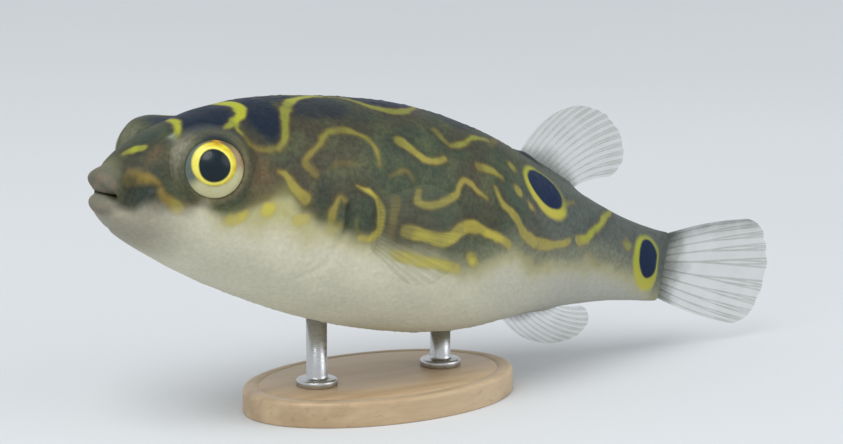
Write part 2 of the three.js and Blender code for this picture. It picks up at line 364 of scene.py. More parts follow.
def skin_grid():
    """The plain surface as (rows, AROUND, 3) and each point's girth. Each loop starts at the middle
    of the back and goes down the left flank."""
    angle = math.pi / 2 + 2 * math.pi * np.arange(AROUND) / AROUND
    c, s = np.cos(angle), np.sin(angle)
    power = 2 / np.where(s > 0, BACK_POWER, BELLY_POWER)
    upper_x, lower_x, width, up, down, waist = (column[:, None] for column in body_rows().T)
    y = width * np.sign(c) * np.abs(c) ** power
    z = waist + np.where(s > 0, up, down) * np.sign(s) * np.abs(s) ** power
    x = lower_x + (upper_x - lower_x) * smooth_step(-0.5, 0.5, s)
    x = x + CORNER_BACK * (1 - smooth_step(0.3, 3.2, x)) * c ** 4
    points = np.stack([x, y, z], -1)
    hop = np.linalg.norm(np.roll(points, -1, 1) - points, axis=2)
    girth = np.cumsum(hop, 1) - hop
    girth = np.where(np.arange(AROUND) > AROUND // 2, girth - hop.sum(1, keepdims=True), girth)
    return points, girth


def outward(points):
    """Unit normals of a grid of loops."""
    along = np.gradient(points, axis=0)
    around = np.roll(points, -1, 1) - np.roll(points, 1, 1)
    normal = np.cross(around, along)
    return normal / np.maximum(np.linalg.norm(normal, axis=2, keepdims=True), 1e-9)


RIM_RADIUS, RIM_HEIGHT = 2.52, 1.40  # the crest of the soft rim round an eyeball
RIM_TAILWARD, RIM_UP = 0.15, -0.06  # the middle of the rim's ring, from the eyeball's
RIM_FOLLOWS = 0.6  # how much the crest rises where it comes nearer to the eyeball's middle
RIM_INSIDE, RIM_OUTSIDE = 0.3, 0.66  # how steeply it falls inside and outside; more is gentler
RIM_BEHIND = 0.34  # how much gentler it falls behind the eye
SOCKET_FLOOR = -1.2
EYELID_DROP, EYELID_RAISED = 0.2, 0.2  # how much closer and higher the rim is over the eye
RIM_BLEND = 1.3  # how softly the rim leaves the plain skin
SOCKET_WALL = (-0.45, -0.1)  # distances from the crest over which the rim turns down to the eyeball
RIM_CREASES = ((0.04, 0.42, 0.1), (0.07, 0.95, 0.16))  # depth, distance outside the crest, width
ORBIT_REACH = (4.4, 5.8)  # distances from the line of sight over which all this dies out
ORBIT_HEIGHTS = (-3.4, -1.4)  # heights along it over which it sets in


def raise_orbit(points, side):
    """Lifts the skin into a soft rim round one eye and sinks it behind the eyeball."""
    height, tailward, up = seen_by_eye(points, side)
    near = 1 - smooth_step(*ORBIT_REACH, np.hypot(tailward, up))
    near = near * smooth_step(*ORBIT_HEIGHTS, height) * (points[..., 1] * side > 0)
    radius = np.maximum(np.hypot(tailward - RIM_TAILWARD, up - RIM_UP), 0.1)
    lead, lift = (tailward - RIM_TAILWARD) / radius, (up - RIM_UP) / radius
    upper, behind = np.clip(lift, 0, 1), smooth_step(0.0, 0.9, lead)
    crest = RIM_RADIUS + RIM_TAILWARD * lead + RIM_UP * lift
    nearer = np.sqrt(EYE_RADIUS ** 2 - crest ** 2) - math.sqrt(EYE_RADIUS ** 2 - RIM_RADIUS ** 2)
    reach = radius + EYELID_DROP * upper ** 2 - RIM_RADIUS
    fall = np.where(reach < 0, RIM_INSIDE, RIM_OUTSIDE + RIM_BEHIND * behind)
    rim = RIM_HEIGHT + RIM_FOLLOWS * nearer + EYELID_RAISED * upper ** 2 - (reach / fall) ** 2
    rim = np.maximum(rim, np.where(reach < 0, SOCKET_FLOOR, -9))
    lifted = smooth_max(height, rim, RIM_BLEND)
    inside = 1 - smooth_step(*SOCKET_WALL, reach)
    raised = lifted * (1 - inside) + np.minimum(lifted, rim) * inside
    for depth, outside, width in RIM_CREASES:
        raised = raised - depth * bump(reach - outside, width)
    shift = near * (raised - height)
    return points + shift[..., None] * eye_axes(side)[0]


BODY_LUMPS = ((0.09, 5.0, 1), (0.035, 1.7, 2))  # height, size and seed
PRICKLE_SPACING, PRICKLE_HEIGHT, PRICKLE_RADIUS = 0.80, 0.055, 0.28
PRICKLES_START, PRICKLES_END = (9.0, 15.0), (46.0, 54.0)  # x over which they set in and die out
# Each nostril is two lobes: how far behind its middle they lie, and their share of its height.
NOSTRIL = dict(x=4.9, girth=2.4, height=0.30, radius=0.28, lobes=((-0.24, 1.0), (0.26, 0.8)))
# The gill slit bows forward at its ends behind a low flap.
GILL_SLIT = dict(x=19.75, middle=13.4, half_length=1.35, bow=0.2, depth=0.32, width=0.26)
GILL_FLAP = dict(ahead=0.55, height=0.2, width=0.45)
FIN_FOOT = dict(x=21.6, middle=13.3, half_length=1.9, height=0.45, width=0.55)
MIDLINE_FOOT = dict(height=0.45, width=0.75)  # the fold along the roots of the two midline fins
LIP_WRINKLES = dict(height=0.025, turns=10, wobble=2)
# Creases in the skin: depth, width and path.
CREASES = (
    (0.13, 0.22, ((1.9, 3.6), (2.5, 4.9), (3.4, 6.0))),
    (0.08, 0.30, ((2.3, 5.4), (3.0, 7.0), (3.2, 8.4))),
    (0.06, 0.35, ((10.8, 8.8), (11.6, 7.6), (11.8, 6.2))),
    (0.08, 0.40, ((19.2, 15.6), (18.2, 17.4), (16.4, 18.6))),
    (0.07, 0.35, ((1.4, 9.2), (2.4, 10.4), (4.2, 11.2))),
)


def relief(points, girth):
    """How far each point of the skin stands out from the plain surface."""
    x, flank = points[..., 0], np.abs(girth)
    height = noises(points, *BODY_LUMPS) * smooth_step(1.0, 4.0, x)

    prickles = PRICKLE_HEIGHT * bump(scattered(points, PRICKLE_SPACING, 3), PRICKLE_RADIUS)
    height += prickles * smooth_step(*PRICKLES_START, x) * (1 - smooth_step(*PRICKLES_END, x))

    for behind, share in NOSTRIL["lobes"]:
        away = np.hypot(x - NOSTRIL["x"] - behind, flank - NOSTRIL["girth"])
        height += NOSTRIL["height"] * share * bump(away, NOSTRIL["radius"])

    span = (flank - GILL_SLIT["middle"]) / GILL_SLIT["half_length"]
    behind = x - GILL_SLIT["x"] + GILL_SLIT["bow"] * span ** 2
    flap = GILL_FLAP["height"] * bump(behind + GILL_FLAP["ahead"], GILL_FLAP["width"])
    slit = GILL_SLIT["depth"] * bump(behind, GILL_SLIT["width"])
    height += (1 - smooth_step(0.75, 1.15, np.abs(span))) * (flap - slit)

    span = (flank - FIN_FOOT["middle"]) / FIN_FOOT["half_length"]
    height += FIN_FOOT["height"] * bump(x - FIN_FOOT["x"], FIN_FOOT["width"]) * np.exp(-span ** 4)

    lowest = np.max(flank, axis=1, keepdims=True)
    for fin, middle in ((DORSAL_FIN, 0.0), (ANAL_FIN, lowest)):
        start, end = fin["root"]
        along = smooth_step(start - 1.2, start + 0.8, x) * (1 - smooth_step(end - 0.6, end + 1.6, x))
        height += MIDLINE_FOOT["height"] * along * bump(flank - middle, MIDLINE_FOOT["width"])

    for depth, width, path in CREASES:
        height -= depth * bump(path_distance(x, flank, path)[0], width)

    lips = (1 - smooth_step(0.5, 1.1, x)) * smooth_step(0.2, 0.5, np.abs(points[..., 2] - SLIT_LEVEL))
    wobble = LIP_WRINKLES["wobble"] * soft_noise(points, 1.0, 4)
    height += LIP_WRINKLES["height"] * lips * np.cos(points[..., 1] * LIP_WRINKLES["turns"] + wobble)
    return height


def shaped(points, girth):
    """The skin's final surface."""
    points = points + relief(points, girth)[..., None] * outward(points)
    for side in (-1, 1):
        points = raise_orbit(points, side)
    return points


# ---- The skin's markings ----

# Yellow lines drawn with girth to either side, so each belongs to one flank or crosses the back:
# widths at the start, middle and end, strength, path.
CREST_LINES = {
    "snout dash": ((0.55, 0.75, 0.6), 0.95, ((1.85, 0.55), (2.3, 0.95), (2.85, 1.45))),
    "brow hook": ((0.4, 0.75, 0.5), 0.90, ((5.1, 2.5), (5.6, 1.9), (6.0, 1.1), (6.2, 0.3), (6.3, -0.5),
        (6.4, -1.2))),
    "far brow hook": ((0.4, 0.6, 0.4), 0.80, ((7.9, -2.8), (8.2, -3.6), (8.2, -4.6))),
    "crown bar": ((0.8, 1.1, 0.5), 0.95, ((9.4, 3.7), (10.2, 3.4), (10.9, 2.6), (11.2, 1.4), (10.9, 0.3),
        (10.6, -0.9), (10.8, -2.2), (10.4, -3.4), (9.9, -4.4))),
}
# Yellow lines of each flank, in the same form, with girth taken on either side.
FLANK_LINES = {
    "cheek arch": ((0.2, 0.35, 0.2), 0.72, ((1.5, 2.3), (2.2, 3.5), (2.9, 4.8), (3.4, 5.7))),
    "cheek patch": ((0.2, 0.5, 0.7), 0.62, ((3.4, 5.7), (3.7, 6.8), (4.3, 7.8), (5.2, 9.1))),
    "crown cusp": ((0.3, 0.7, 1.0), 1.0, ((8.8, 3.75), (9.5, 3.7), (10.1, 3.3))),
    "crown stem": ((0.8, 0.5, 0.45), 0.75, ((10.2, 3.5), (10.0, 4.2), (10.2, 4.9))),
    "crown hem": ((0.45, 0.45, 0.6), 0.40, ((10.2, 4.9), (10.6, 5.8), (11.3, 6.5), (12.3, 6.8),
        (13.2, 6.8))),
    "eight, front loop": ((0.7, 0.75, 1.0), 0.60, ((13.2, 6.8), (13.8, 6.2), (14.1, 5.2), (14.4, 4.2),
        (15.0, 3.1), (15.6, 2.3))),
    "eight, front arm": ((1.0, 0.6, 0.4), 0.80, ((15.6, 2.3), (16.4, 1.5), (17.6, 0.9), (19.1, 0.5),
        (20.8, 0.4))),
    "eight, rear loop": ((0.4, 0.95, 0.35), 0.52, ((20.8, 0.4), (21.9, 0.8), (22.7, 1.7), (23.9, 2.6),
        (25.3, 3.0), (26.8, 2.8), (28.2, 2.0), (29.2, 1.1), (30.0, 0.0))),
    "shoulder arc": ((0.65, 0.6, 0.6), 0.48, ((16.4, 9.5), (15.9, 8.9), (15.5, 8.2), (16.2, 7.5),
        (17.0, 6.9), (17.4, 6.3), (18.2, 5.8), (19.5, 5.7), (20.8, 6.1), (21.8, 6.6), (22.4, 7.5),
        (22.6, 8.9))),
    "shoulder smudge": ((0.4, 0.6, 0.5), 0.20, ((17.6, 9.3), (18.2, 8.8), (19.3, 8.7), (20.4, 8.9))),
    "jaw stroke": ((0.45, 0.7, 0.9), 0.70, ((13.0, 8.8), (13.7, 9.2), (14.3, 10.0), (15.0, 10.8),
        (15.7, 11.5))),
    "gill arch": ((0.8, 0.7, 0.4), 0.50, ((18.2, 14.0), (18.2, 12.7), (18.7, 11.6), (19.3, 12.0))),
    "fin surround": ((0.3, 0.8, 0.75), 0.84, ((20.2, 10.7), (21.3, 11.1), (22.2, 11.8), (22.7, 12.8),
        (22.9, 13.9), (22.7, 14.7), (22.0, 15.2), (21.1, 15.1))),
    "fin edge": ((0.3, 0.45, 0.3), 0.35, ((20.5, 13.6), (20.6, 14.3), (20.8, 15.0))),
    "flank bar": ((1.0, 0.9, 0.9), 0.42, ((24.2, 11.9), (24.2, 13.2), (24.0, 14.6))),
    "flank chevron": ((0.35, 0.6, 0.4), 0.42, ((23.6, 9.9), (24.5, 9.5), (25.2, 9.3), (25.9, 10.1))),
    "flank tick": ((1.0, 0.7, 0.6), 0.68, ((24.9, 6.6), (25.7, 7.1), (26.6, 7.8), (27.5, 8.2), (28.6, 8.2),
        (29.4, 7.8))),
    "zigzag, front": ((0.9, 0.6, 0.5), 0.42, ((29.3, 4.9), (29.8, 5.7), (30.5, 6.3))),
    "zigzag, rear": ((0.5, 0.45, 0.7), 0.60, ((30.5, 6.3), (31.5, 5.9), (32.6, 5.2), (33.7, 4.4),
        (34.7, 3.9), (35.9, 3.5))),
    "back thread": ((0.4, 0.45, 0.4), 0.28, ((35.8, 4.2), (37.0, 3.0), (38.2, 1.5), (39.0, 0.0))),
    "flank dash": ((0.9, 0.65, 0.5), 0.60, ((33.3, 7.4), (34.6, 7.2), (36.3, 7.3))),
    "upper wave": ((0.9, 0.65, 0.5), 0.62, ((26.5, 11.0), (26.4, 11.8), (27.2, 12.1), (28.5, 11.9),
        (29.7, 11.3), (30.6, 10.6), (30.9, 9.8), (31.4, 9.3), (32.2, 9.3), (33.0, 9.7), (34.1, 10.0))),
    "long line": ((0.6, 1.1, 0.55), 0.68, ((35.2, 8.6), (35.9, 9.6), (37.0, 9.9), (38.0, 10.2),
        (38.9, 10.9), (40.2, 11.0), (41.8, 10.4), (43.3, 9.7), (44.7, 8.8), (45.6, 8.0))),
    "lower wave": ((1.2, 1.1, 0.8), 0.86, ((25.4, 14.4), (27.2, 14.6), (29.2, 14.8), (30.3, 14.4),
        (31.1, 13.7), (32.0, 13.1), (33.3, 12.9), (35.0, 12.9), (37.2, 12.8))),
    "belly band": ((0.9, 1.1, 1.0), 0.86, ((24.7, 16.5), (27.5, 16.8), (29.5, 16.8), (31.4, 16.8))),
    "tail stem": ((0.85, 0.6, 0.5), 0.80, ((46.9, 7.3), (48.0, 6.4), (49.2, 5.1), (50.4, 3.9), (51.2, 2.8),
        (52.2, 1.8), (53.0, 0.9))),
    "eye-spot arm": ((0.7, 0.5, 0.4), 0.50, ((44.9, 5.3), (45.7, 4.5), (46.8, 3.7))),
}
# Yellow spots of each flank: centre, half length and half height, strength.
FLANK_SPOTS = (
    ((9.6, 11.9), (1.1, 0.5), 0.85), ((12.4, 11.8), (0.9, 0.85), 0.90), ((15.3, 13.1), (0.9, 0.5), 0.62),
    ((18.4, 14.1), (0.7, 0.6), 0.35), ((33.1, 15.7), (1.0, 0.62), 0.85), ((38.0, 5.5), (0.65, 0.45), 0.50),
    ((38.3, 7.6), (0.7, 0.5), 0.60), ((40.0, 8.1), (0.65, 0.42), 0.70), ((54.3, 4.1), (0.7, 0.6), 0.50),
    ((49.5, 7.5), (1.6, 0.5), 0.20), ((43.0, 11.9), (1.2, 0.5), 0.22), ((40.0, 12.8), (2.0, 0.5), 0.20),
)
# Blue-black patches over the back, and olive-black shades on each flank; centre, half length and
# half height, strength. The one at (19.7, 13.4) darkens the gill slit's opening: painted shade.
SADDLES = (
    ((8.2, 1.3), (2.2, 3.4), 1.0), ((12.6, 2.4), (1.7, 4.0), 1.0), ((14.6, 0.0), (2.6, 1.5), 0.9),
    ((25.8, 0.0), (3.6, 2.5), 1.0), ((18.0, 2.6), (3.2, 2.0), 0.72), ((33.0, 0.0), (3.6, 3.2), 0.75),
    ((40.8, 0.0), (3.4, 1.8), 0.80), ((28.4, 13.2), (3.4, 0.8), 0.15),
)
SHADES = (
    ((33.8, 11.4), (3.6, 1.0), 0.20), ((40.5, 9.5), (2.4, 0.7), 0.25), ((44.5, 7.8), (2.4, 0.8), 0.12),
    ((17.2, 12.0), (0.8, 1.9), 0.60), ((2.6, 5.4), (0.62, 1.35), 0.85), ((1.9, 4.0), (0.45, 1.0), 0.60),
    ((21.4, 13.3), (0.75, 1.75), 0.46), ((19.7, 13.4), (0.65, 1.3), 0.50), ((9.2, 10.3), (2.0, 0.8), 0.30),
    ((3.0, 0.9), (1.6, 2.0), 0.40), ((24.5, 9.0), (1.5, 3.0), 0.15), ((28.0, 10.0), (2.2, 0.8), 0.12),
    ((37.0, 4.5), (3.0, 1.0), 0.25), ((22.0, 4.1), (2.4, 1.0), 0.45), ((46.0, 6.6), (1.4, 0.8), 0.10),
    ((13.6, 7.9), (1.6, 0.7), 0.30),
)
# Eye-spots: the black oval, its tilt, how far the yellow ring reaches round it and is set down, and
# how much of it is missing towards the back and the tail.
OCELLI = (
    dict(centre=(42.4, 5.1), size=(2.3, 1.6), tilt=14, ring=(0.62, 0.62), ring_down=0.25, open=0.65),
    dict(centre=(57.3, 4.05), size=(1.4, 1.75), tilt=0, ring=(0.75, 0.85), ring_down=0.4, open=0.3),
)
RING_OPENS = (0.2, 1.8)  # heights above the middle over which a ring's missing part sets in
RING_OPEN_TURN = 0.6  # how much that part turns from the back towards the tail
# The edge of the white belly: x and its girth.
BELLY_EDGE = (
    (-1.0, 1.4), (0.8, 4.0), (2.5, 6.6), (4.5, 8.6), (6.0, 9.8), (7.1, 10.1), (8.0, 11.2),
    (10.0, 11.5), (12.0, 11.4), (13.5, 11.2), (15.0, 12.3), (17.0, 13.7), (20.0, 15.1),
    (23.0, 15.9), (26.0, 16.2), (30.0, 16.6), (33.0, 16.4), (35.5, 15.1), (37.5, 13.5),
    (41.0, 12.7), (44.0, 11.0), (47.0, 9.1), (50.0, 7.6), (54.0, 6.8), (61.0, 6.6),
)
# Faint brown patches of each flank: centre, half length and half height.
BROWN_PATCHES = (((11.6, 8.8), (1.1, 1.8)), ((3.4, 2.7), (0.8, 0.9)), ((6.0, 9.2), (1.2, 0.8)))
LINE_SOFTNESS = 0.22
END_STRENGTH, END_FADE = 0.75, 1.2  # lines are paler at their ends, and over this length
HALO_WIDTH = 0.7  # how far the skin is darkened round a line
# Amounts, sizes and seeds of noise. The first of each WARP is for the left flank.
WARP_X, WARP_GIRTH = ((0.08, 3.1, 11), (0.06, 0.8, 13)), ((0.08, 3.1, 12), (0.06, 0.8, 14))
RIGHT_WARP = 0.6  # how much stronger that first one is on the right flank
SWELL = ((0.1, 1.3, 17), (0.08, 0.5, 18))
BELLY_RAGGED = ((0.45, 2.3, 15), (0.25, 0.9, 16))
EYE_WINDOW = (-2.4, -0.9)  # heights in an eye's line of sight over which the skin's tints set in
# Distance from the line of sight, and width, of the tints of the lids, their edge and the socket.
LID_TINT, RIM_TINT, SOCKET_TINT = (2.95, 0.42), (2.75, 0.3), (3.0, 0.5)
LINES_WORN = 0.22  # how much weaker the lines are where they are worn


def uneven(points, girth):
    """Skin coordinates pushed about a little, and more on the right flank, so that drawn shapes
    come out irregular and the two flanks differ."""
    more = RIGHT_WARP * smooth_step(1.5, 4.5, -girth)
    pushed = []
    for place, ((amount, size, seed), fine) in ((points[..., 0], WARP_X), (girth, WARP_GIRTH)):
        pushed.append(place + noises(points, (amount + more, size, seed), fine))
    return pushed


def line_masks(x, girth, lines, swell):
    """Each line's strength at every point, the largest of them kept, and the nearness of any. swell
    is added to every half width."""
    line, nearness = np.zeros(x.shape), np.zeros(x.shape)
    for widths, strength, path in lines.values():
        away, share, length = path_distance(x, girth, path)
        half = np.interp(share, (0, 0.5, 1), widths) / 2 + swell
        from_end = np.minimum(share, 1 - share) * length
        drawn = 1 - smooth_step(half - LINE_SOFTNESS, half + LINE_SOFTNESS, away)
        drawn = drawn * (END_STRENGTH + (1 - END_STRENGTH) * smooth_step(0, END_FADE, from_end))
        line = np.maximum(line, strength * drawn)
        nearness = np.maximum(nearness, strength * bump(np.maximum(away - half, 0), HALO_WIDTH))
    return line, nearness


def spot_masks(x, girth, spots, soft, rough):
    """Each spot's strength at every point, the largest of them kept. rough is added to every
    distance from a spot's centre."""
    mask = np.zeros(x.shape)
    for centre, size, strength in spots:
        away = spot_distance(x, girth, centre, size) + rough
        mask = np.maximum(mask, strength * (1 - smooth_step(1 - soft, 1 + soft, away)))
    return mask


def ocellus_masks(x, flank):
    """The black ovals of the eye-spots, and their yellow rings with the ovals filled in."""
    black, ring = np.zeros(x.shape), np.zeros(x.shape)
    for spot in OCELLI:
        above = spot["centre"][1] - flank + RING_OPEN_TURN * (x - spot["centre"][0])
        fade = 1 - spot["open"] * smooth_step(*RING_OPENS, above)
        away = spot_distance(x, flank, spot["centre"], spot["size"], spot["tilt"])
        black = np.maximum(black, 1 - smooth_step(0.94, 1.06, away))
        middle = (spot["centre"][0], spot["centre"][1] + spot["ring_down"])
        size = (spot["size"][0] + spot["ring"][0], spot["size"][1] + spot["ring"][1])
        away = spot_distance(x, flank, middle, size, spot["tilt"])
        ring = np.maximum(ring, fade * (1 - smooth_step(0.88, 1.10, away)))
    return black, ring


def eye_masks(points):
    """The skin round the eyes: the plain olive lids, their tan edge behind and below, and the pale
    skin of the socket in front, which is plainer on the right."""
    rim, lid, socket = np.zeros((3,) + points.shape[:-1])
    for side, pale in ((-1, 0.85), (1, 0.3)):
        height, tailward, up = seen_by_eye(points, side)
        near = smooth_step(*EYE_WINDOW, height) * (points[..., 1] * side > 0)
        radius = np.maximum(np.hypot(tailward, up), 0.1)
        tailward, up = tailward / radius, up / radius
        rear = smooth_step(-0.2, 0.8, tailward - 0.5 * up)
        rim = np.maximum(rim, near * rear * bump(radius - RIM_TINT[0], RIM_TINT[1]))
        lid = np.maximum(lid, near * bump(radius - LID_TINT[0], LID_TINT[1]))
        front = smooth_step(0.55, 0.98, 0.15 * up - tailward)
        front = (front + smooth_step(0.88, 0.99, 0.3 * up - 0.95 * tailward)) / 2
        tint = pale * near * front * bump(radius - SOCKET_TINT[0], SOCKET_TINT[1])
        socket = np.maximum(socket, tint)
    return dict(rim=rim, lid=lid, socket=socket)


def belly_softness(x):
    """Half width of the belly's edge, which is softer under the snout, in the middle and behind."""
    soft = 0.65 + 0.5 * (1 - smooth_step(2.5, 5.5, x)) + 0.7 * bump(x - 28, 9.0)
    return soft + 0.3 * smooth_step(34, 40, x)


def markings(points, girth):
    """Masks from 0 to 1 for every point of the skin. Those that follow the body's form go by place,
    and those of drawn shapes by the uneven x."""
    place = points[..., 0]
    x, wavy = uneven(points, girth)
    flank = np.abs(wavy)
    swell = noises(points, *SWELL)
    crest, crest_near = line_masks(x, wavy, CREST_LINES, swell)
    line, near = line_masks(x, flank, FLANK_LINES, swell)
    yellow = np.maximum.reduce([crest, line, spot_masks(x, flank, FLANK_SPOTS, 0.5, 3.5 * swell)])
    worn = LINES_WORN * smooth_step(0.0, 0.8, soft_noise(points, 1.6, 19))
    black, ring = ocellus_masks(x, flank)
    below_edge = np.abs(girth) - spline(*zip(*BELLY_EDGE))(place)
    ragged = below_edge + noises(points, *BELLY_RAGGED)
    glow = bump(place - 13.5, 3.5)
    tinge = (0.42 + 0.4 * glow) * bump(ragged - 0.3 - 0.7 * glow, 0.9 + 0.7 * glow)
    # The rows lining the throat are darkened inside the mouth: painted shade.
    throat = 1 - smooth_step(THROAT_ROW - 6, THROAT_ROW, np.arange(len(x)))
    nostril = np.hypot((x - NOSTRIL["x"]) / 0.3, (wavy - NOSTRIL["girth"]) / 0.45)
    brown = [bump(spot_distance(x, flank, *patch), 1.0) for patch in BROWN_PATCHES]
    return dict(
        eye_masks(points),
        line=yellow * (1 - worn),
        halo=np.maximum(crest_near, near),
        black=black,
        ring=ring,
        low=smooth_step(3.0, 11.5, flank),
        saddle=spot_masks(x, flank, SADDLES, 0.28, swell),
        shade=spot_masks(x, flank, SHADES, 0.45, swell),
        belly=smooth_step(-1, 1, ragged / belly_softness(place)),
        tinge=tinge * smooth_step(5.0, 9.0, place),
        fringe=bump(below_edge + 0.9, 1.4) * smooth_step(28.0, 36.0, place),
        chin=1 - smooth_step(1.5, 9.5, place),
        rear=smooth_step(30.0, 50.0, place),
        lips=1 - smooth_step(0.3, 1.3, place),
        mouth=np.repeat(throat[:, None], AROUND, 1),
        brown=np.maximum.reduce(brown),
        # The pale patch on top of the snout is a painted highlight.
        snout=bump(spot_distance(x, flank, (0.9, 0.0), (0.5, 1.6)), 1.0),
        nostril=bump(nostril, 1.0),
        warm=(1 - smooth_step(4.0, 5.0, x)) * smooth_step(1.6, 2.2, flank),
    )


UV_MARGIN = 0.01


def skin_uv(points, faces):
    """The skin unrolled for baking: u along the body and v round it, with the seam under the belly.
    Faces over the seam, and those on the two end tips, are given their own side's v."""
    travel = travelled(points[:, AROUND // 4])
    room = 1 - 2 * UV_MARGIN
    u = UV_MARGIN + room * np.repeat(travel / travel[-1], AROUND)
    column = np.tile(np.arange(AROUND), len(points))
    u, column = np.append(u, [0.004, 0.996]), np.append(column, [-1, -1])
    corners = column[faces].astype(float)
    largest = corners.max(1, keepdims=True)
    corners = np.where((corners == 0) & (largest > AROUND // 2), AROUND, corners)
    shared = np.where(corners < 0, largest, corners)
    turn = (shared / AROUND + 0.5) % 1.0
    crossing = (turn.max(1, keepdims=True) - turn.min(1, keepdims=True)) > 0.5
    turn = np.where(crossing & (turn < 0.5), turn + 1, turn)
    return np.stack([u[faces], UV_MARGIN + room * turn], -1)


def make_skin(material):
    """One skin over head, trunk, tail and lips, with its masks for the material."""
    plain, girth = skin_grid()
    points = shaped(plain, girth)
    tips = np.stack([points[0].mean(0), points[-1].mean(0)])
    flat = np.vstack([points.reshape(-1, 3), tips])
    faces = closed_by_tips(len(points), AROUND)
    masks = {key: np.append(mask.ravel(), [mask[0].mean(), mask[-1].mean()])
             for key, mask in markings(plain, girth).items()}
    skin = mesh_piece("skin", to_world(flat), faces, material, masks, skin_uv(plain, faces))
    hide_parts("head", "trunk", "tail", "upper_lip", "lower_lip")


# ---- Node helpers ----


def linear(red, green, blue):
    """An sRGB colour of 0 to 255 as a linear one with alpha."""
    def channel(value):
        value /= 255
        return value / 12.92 if value <= 0.04045 else ((value + 0.055) / 1.055) ** 2.4
    return (channel(red), channel(green), channel(blue), 1.0)


class Nodes:
    """The node tree of a material or the world, with short calls for the nodes used here. Inputs
    take either a number or colour, or another node's output."""

    def __init__(self, owner, shader="Principled BSDF"):
        owner.use_nodes = True
        self.owner = owner
        self.tree = owner.node_tree
        self.shader = self.tree.nodes[shader]

    def fill(self, node, inputs):
        """Links or sets the inputs, by name or number."""
        for key, value in inputs.items():
            if isinstance(value, bpy.types.NodeSocket):
                self.tree.links.new(value, node.inputs[key])
            else:
                node.inputs[key].default_value = value

    def add(self, kind, output, inputs, **settings):
        """One output of a new node."""
        node = self.tree.nodes.new("ShaderNode" + kind)
        for key, value in settings.items():
            setattr(node, key, value)
        self.fill(node, inputs)
        return node.outputs[output]

    def space(self, stretch=None):
        """The object's own coordinates, in metres, each multiplied by its stretch if one is given."""
        here = self.add("TexCoord", "Object", {})
        return here if stretch is None else self.add("Mapping", "Vector", {"Vector": here, "Scale": stretch})

    def attribute(self, name):
        """One of the mesh's masks."""
        return self.add("Attribute", "Fac", {}, attribute_name=name)

    def noise(self, scale, detail=2.0, roughness=0.5, stretch=None):
        """Smooth noise, the finer the larger its scale."""
        inputs = {"Vector": self.space(stretch), "Scale": scale, "Detail": detail, "Roughness": roughness}
        return self.add("TexNoise", "Fac", inputs)

    def cells(self, scale):
        """Distance to the nearest of many scattered points."""
        return self.add("TexVoronoi", "Distance", {"Vector": self.space(), "Scale": scale})

    def ramp(self, value, low, high, bottom=0.0, top=1.0):
        """bottom up to low, top from high on, and smooth between."""
        inputs = {"Value": value, "From Min": low, "From Max": high, "To Min": bottom, "To Max": top}
        return self.add("MapRange", "Result", inputs, interpolation_type="SMOOTHSTEP")

    def mask_ramp(self, name, low, high, bottom=0.0, top=1.0):
        """The same for a mask."""
        return self.ramp(self.attribute(name), low, high, bottom, top)

    def math(self, operation, first, second):
        """An operation on two numbers."""
        return self.add("Math", 0, {0: first, 1: second}, operation=operation)

    def mix(self, share, first, second):
        """The first colour where share is 0 and the second where it is 1."""
        return self.add("Mix", "Result", {"Factor": share, "A": first, "B": second}, data_type="RGBA")

    def layer(self, under, name, colour, strength=1.0):
        """colour laid over what is under it where the mask says."""
        return self.mix(self.math("MULTIPLY", self.attribute(name), strength), under, colour)

    def shade(self, colour, factor):
        """The colour made darker or lighter by a factor."""
        return self.add("VectorMath", "Vector", {0: colour, "Scale": factor}, operation="SCALE")

    def bump(self, height, strength, distance, **under):
        """A bumped normal, laid over the one given as Normal, if there is one."""
        inputs = {"Height": height, "Strength": strength, "Distance": distance}
        return self.add("Bump", "Normal", {**inputs, **under})

    def finish(self, **inputs):
        """The material or world, with the shader's inputs filled. In a key, _ stands for a space."""
        self.fill(self.shader, {key.replace("_", " "): value for key, value in inputs.items()})
        return self.owner


def material_nodes(name):
    """The node tree of a new material."""
    return Nodes(bpy.data.materials.new(name))


# ---- The skin's colours ----

FLANK_GREEN = linear(60, 71, 57)
FLANK_BROWN = linear(70, 67, 54)
FLANK_LIGHT = linear(90, 96, 68)
TAIL_GREY = linear(92, 100, 98)
TINGE_YELLOW = linear(164, 158, 96)
SADDLE_BLACK = linear(25, 36, 50)
SHADE_OLIVE = linear(48, 58, 52)
YELLOW_BRIGHT = linear(166, 171, 48)
YELLOW_WARM = linear(190, 180, 74)
YELLOW_DULL = linear(156, 160, 62)
YELLOW_SAND = linear(176, 162, 74)
OCHRE = linear(146, 124, 56)
OCELLUS_BLACK = linear(16, 34, 63)
BELLY_WHITE = linear(206, 203, 180)
BELLY_GREY = linear(196, 193, 172)
FRINGE_GREY = linear(146, 146, 122)
REAR_GREY = linear(174, 174, 162)
CHIN_GREY = linear(150, 145, 128)
LIP_GREY = linear(106, 107, 92)
LIP_PINK = linear(128, 112, 98)
# Painted highlight on top of the snout.
SNOUT_PAINTED_HIGHLIGHT = linear(118, 122, 90)
PATCH_BROWN = linear(116, 94, 64)
SOCKET_PALE = linear(142, 138, 120)
RIM_TAN = linear(138, 124, 96)
LID_OLIVE = linear(82, 84, 62)
NOSTRIL_PALE = linear(128, 138, 122)
# Painted shade for the inside of the mouth.
MOUTH_PAINTED_SHADE = linear(92, 80, 70)
FIN_ROOT = linear(76, 84, 72)

# Scale, detail and roughness of the noises behind the grain, the blotches and the broad patches.
GRAIN, BLOTCH, BROAD = (2600, 3, 0.6), (420, 4, 0.6), (130, 3, 0.5)
FINE_BUMP = 0.00004  # height of the finest grain, in metres


